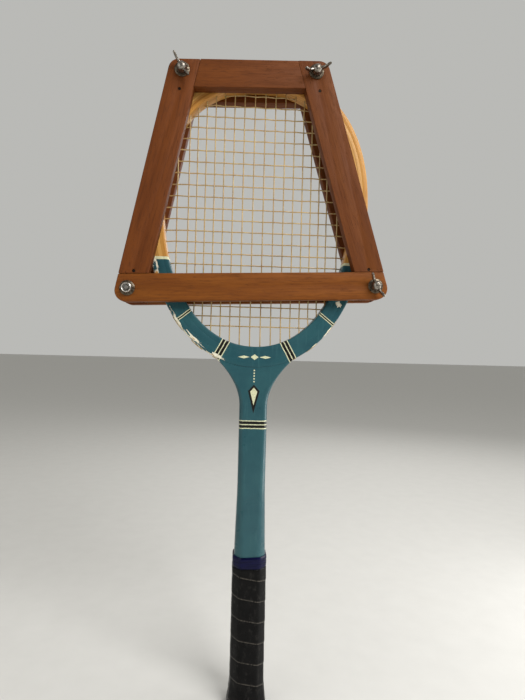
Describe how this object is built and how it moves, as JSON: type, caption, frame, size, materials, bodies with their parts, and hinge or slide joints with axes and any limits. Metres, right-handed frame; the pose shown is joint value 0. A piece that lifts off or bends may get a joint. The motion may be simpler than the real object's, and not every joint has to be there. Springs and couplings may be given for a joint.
{
  "type": "wooden racket in a press",
  "caption": "Strung wooden racket with a laminated hoop, painted throat and leather grip, clamped in a tapered wooden press with bolts and wing nuts.",
  "frame": {"origin": "centre of the flat butt end", "axes": "+Z from the butt to the head, -Y out of the face that carries the wing nuts, +X to the right seen from that face"},
  "size_m": [0.2852, 0.0625, 0.6868],
  "materials": {
    "hoop_wood": "satin varnish over yellow-brown wood",
    "pale_ply": "satin varnish over a pale ply",
    "painted_wood": "semi-gloss teal paint, chipped along the shoulders",
    "press_wood": "satin reddish brown stain",
    "string": "translucent amber gut",
    "grip_leather": "worn black leather strip",
    "collar_tape": "glossy dark blue tape",
    "butt_cap": "plain black leather disc",
    "dull_steel": "aged dull plating",
    "bright_steel": "satin plating"
  },
  "bodies": {
    "racket": {"hoop_inner_ply": "hoop_wood", "hoop_middle_ply": "pale_ply", "hoop_outer_ply": "hoop_wood", "main_string": "string", "cross_string": "string", "throat_wedge": "painted_wood", "shaft_core": "painted_wood", "bow_leg_left": "painted_wood", "bow_leg_right": "painted_wood", "heel_front": "painted_wood", "heel_back": "painted_wood", "grip_leather": "grip_leather", "grip_collar": "collar_tape", "butt_cap": "butt_cap"},
    "press_back": {"back_top_rail": "press_wood", "back_bottom_rail": "press_wood", "back_left_stile": "press_wood", "back_right_stile": "press_wood", "back_pin_top_left": "dull_steel", "back_pin_top_right": "dull_steel", "back_pin_bottom_left": "dull_steel", "back_pin_bottom_right": "dull_steel", "bolt_top_left": "dull_steel", "bolt_top_right": "dull_steel", "bolt_bottom_left": "dull_steel", "bolt_bottom_right": "dull_steel"},
    "press_front": {"front_top_rail": "press_wood", "front_bottom_rail": "press_wood", "front_left_stile": "press_wood", "front_right_stile": "press_wood", "front_pin_top_left": "dull_steel", "front_pin_top_right": "dull_steel", "front_pin_bottom_left": "dull_steel", "front_pin_bottom_right": "dull_steel", "washer_top_left": "dull_steel", "washer_top_right": "dull_steel", "washer_bottom_left": "dull_steel", "washer_bottom_right": "dull_steel"},
    "wing_nut_top_left": {"wing_nut_top_left": "dull_steel"},
    "wing_nut_top_right": {"wing_nut_top_right": "dull_steel"},
    "ring_nut_bottom_left": {"ring_nut_bottom_left": "bright_steel"},
    "wing_nut_bottom_right": {"wing_nut_bottom_right": "dull_steel"}
  },
  "joints": [
    {"name": "press_slide", "type": "slide", "parent": "racket", "child": "press_back", "axis": [0, 0, 1], "range_m": [0, 0.27]},
    {"name": "press_opening", "type": "slide", "parent": "press_back", "child": "press_front", "axis": [0, -1, 0], "range_m": [0, 0.005]},
    {"name": "wing_nut_top_left_spin", "type": "hinge", "parent": "press_front", "child": "wing_nut_top_left", "pos_m": [-0.08305, -0.026, 0.6696], "axis": [0, -1, 0], "range_deg": [0, 1700]},
    {"name": "wing_nut_top_right_spin", "type": "hinge", "parent": "press_front", "child": "wing_nut_top_right", "pos_m": [0.0569, -0.026, 0.67522], "axis": [0, -1, 0], "range_deg": [0, 1700]},
    {"name": "ring_nut_bottom_left_spin", "type": "hinge", "parent": "press_front", "child": "ring_nut_bottom_left", "pos_m": [-0.13345, -0.026, 0.44189], "axis": [0, -1, 0], "range_deg": [0, 1700]},
    {"name": "wing_nut_bottom_right_spin", "type": "hinge", "parent": "press_front", "child": "wing_nut_bottom_right", "pos_m": [0.1254, -0.026, 0.45229], "axis": [0, -1, 0], "range_deg": [0, 1700]}
  ],
  "couplings": [
    {"joint": "wing_nut_top_left_spin", "follows": "press_opening", "rad_per_m": 5927.5},
    {"joint": "wing_nut_top_right_spin", "follows": "press_opening", "rad_per_m": 5927.5},
    {"joint": "ring_nut_bottom_left_spin", "follows": "press_opening", "rad_per_m": 5927.5},
    {"joint": "wing_nut_bottom_right_spin", "follows": "press_opening", "rad_per_m": 5927.5}
  ]
}
